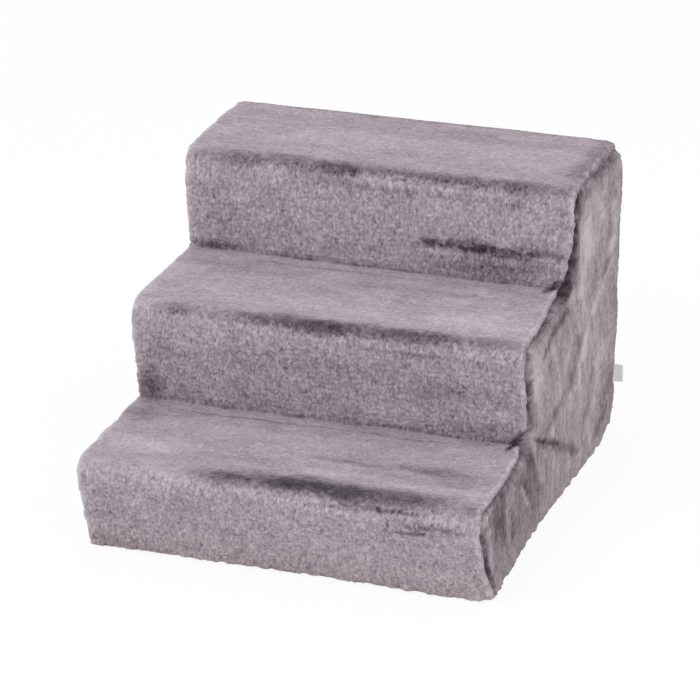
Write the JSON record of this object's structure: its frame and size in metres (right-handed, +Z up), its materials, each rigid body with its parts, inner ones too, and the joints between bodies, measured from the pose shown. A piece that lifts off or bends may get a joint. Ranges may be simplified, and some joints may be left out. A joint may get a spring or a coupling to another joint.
{
  "type": "pet stairs",
  "caption": "Low plush-covered pet stairs with rounded step noses, a hollow knock-down plastic frame and a washable cover that lifts off.",
  "frame": {"origin": "on the floor, under the middle of the stairs", "axes": "+Z up; +Y from the lowest step's nose to the back; +X to the right for someone facing the steps"},
  "size_m": [0.405, 0.45, 0.309],
  "materials": {
    "frame_plastic": "satin",
    "clip_plastic": "satin",
    "foot_rubber": "matte",
    "hook_tape": "matte",
    "loop_tape": "matte",
    "plush": "matte",
    "seam_tape": "matte",
    "label_fabric": "matte"
  },
  "bodies": {
    "frame": {"lower_side_panel_right": "frame_plastic", "lower_side_panel_left": "frame_plastic", "lower_riser_board": "frame_plastic", "lower_back_board": "frame_plastic", "lower_tread": "frame_plastic", "lower_tread_clips": "clip_plastic", "middle_side_panel_right": "frame_plastic", "middle_side_panel_left": "frame_plastic", "middle_riser_board": "frame_plastic", "middle_back_board": "frame_plastic", "middle_tread": "frame_plastic", "middle_tread_clips": "clip_plastic", "upper_side_panel_right": "frame_plastic", "upper_side_panel_left": "frame_plastic", "upper_riser_board": "frame_plastic", "upper_back_board": "frame_plastic", "upper_tread": "frame_plastic", "upper_tread_clips": "clip_plastic", "stack_clips_right": "clip_plastic", "stack_clips_left": "clip_plastic", "rubber_feet_right": "foot_rubber", "rubber_feet_left": "foot_rubber", "hook_tape_right": "hook_tape", "hook_tape_left": "hook_tape", "hook_tape_front": "hook_tape", "hook_tape_back": "hook_tape"},
    "cover": {"loop_tape_right": "loop_tape", "loop_tape_left": "loop_tape", "loop_tape_front": "loop_tape", "cover_step_panel": "plush", "cover_right_panel": "plush", "cover_left_panel": "plush", "seam_tape_right": "seam_tape", "seam_tape_left": "seam_tape", "care_label": "label_fabric"},
    "back_flap": {"cover_back_flap": "plush", "loop_tape_back": "loop_tape"}
  },
  "joints": [
    {"name": "cover_lift", "type": "slide", "parent": "frame", "child": "cover", "axis": [0, -0.4384, 0.8988], "range_m": [0, 0.345]},
    {"name": "back_flap_hinge", "type": "hinge", "parent": "frame", "child": "back_flap", "pos_m": [0, 0.225, 0.293], "axis": [1, 0, 0], "range_deg": [0, 120]}
  ]
}
